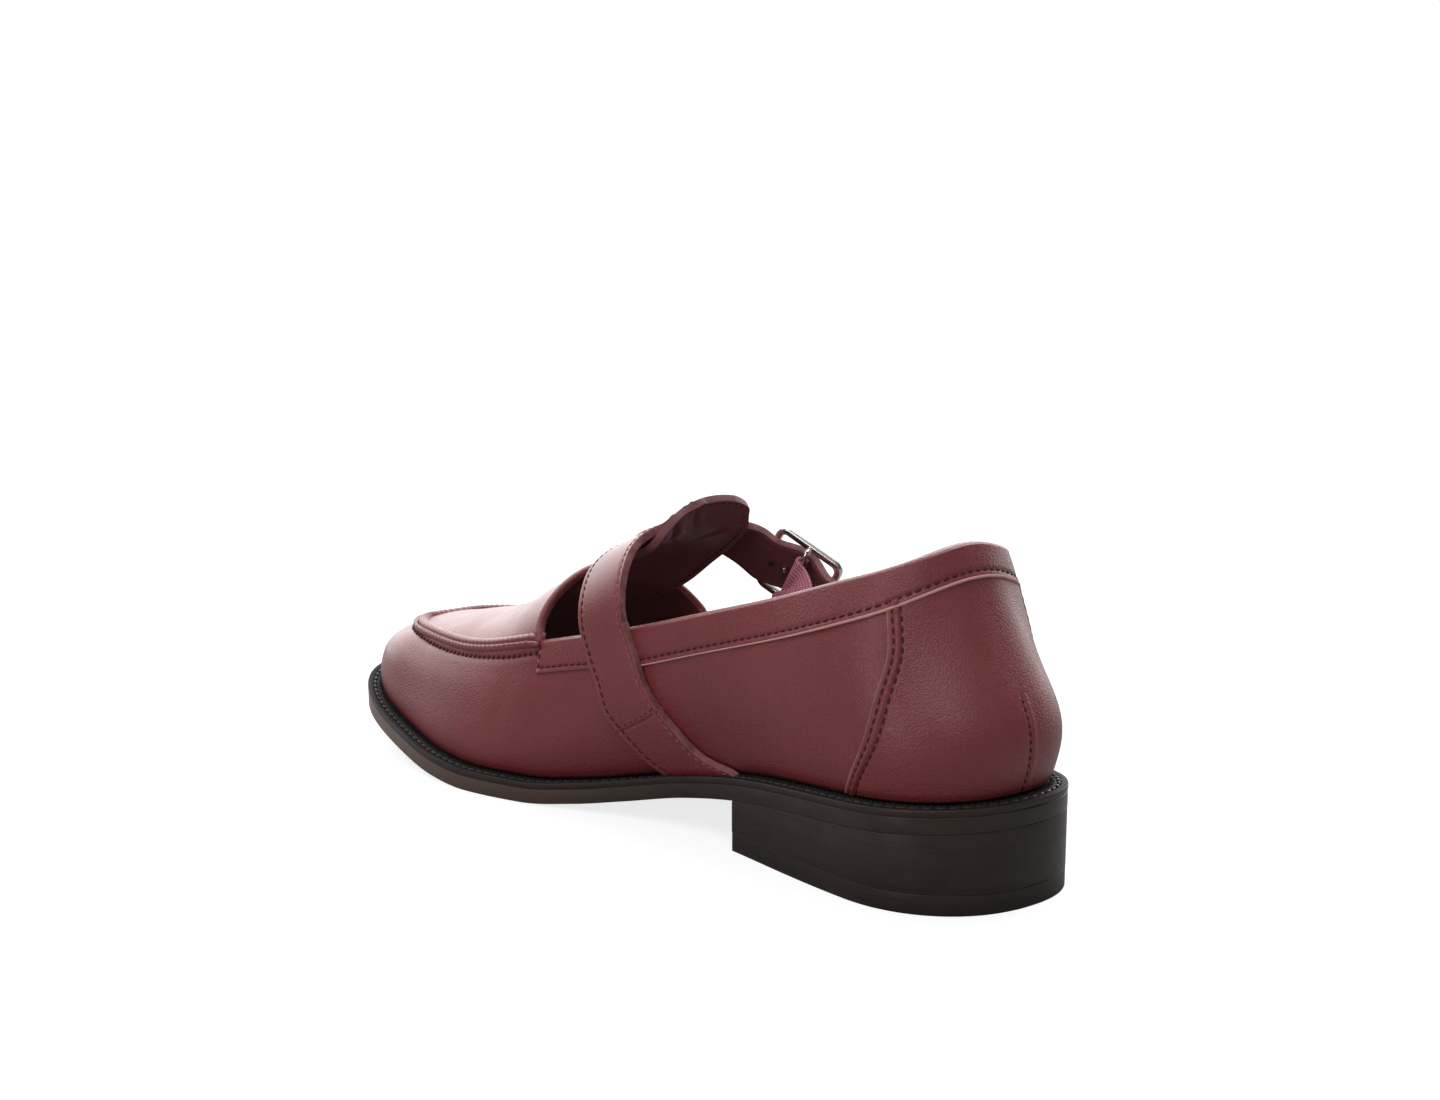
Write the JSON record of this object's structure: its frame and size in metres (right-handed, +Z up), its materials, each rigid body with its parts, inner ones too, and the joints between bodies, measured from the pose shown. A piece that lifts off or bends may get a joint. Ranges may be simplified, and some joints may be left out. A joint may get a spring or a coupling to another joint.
{
  "type": "mary jane shoe",
  "caption": "Leather mary jane shoe with a moccasin toe, a T-bar carrying a buckled cross strap, a stitched welt and a low stacked heel.",
  "frame": {"origin": "middle of the heel's ground face", "axes": "+X from the heel to the toe, +Y to the medial (inner) side, +Z up"},
  "size_m": [0.258, 0.091, 0.0855],
  "materials": {
    "leather": "polished",
    "lining": "matte",
    "sole_leather": "satin",
    "welt_black": "satin",
    "stacked_heel": "polished",
    "rubber": "satin",
    "nickel": "polished",
    "elastic": "matte"
  },
  "bodies": {
    "root": {"outsole": "sole_leather", "welt": "welt_black", "insole": "lining", "heel_block": "stacked_heel", "top_lift": "rubber", "upper": "leather", "tongue": "leather", "strap": "leather", "keeper": "leather", "apron_roll": "leather", "buckle_frame": "nickel", "buckle_prong": "nickel", "elastic": "elastic"}
  },
  "joints": []
}
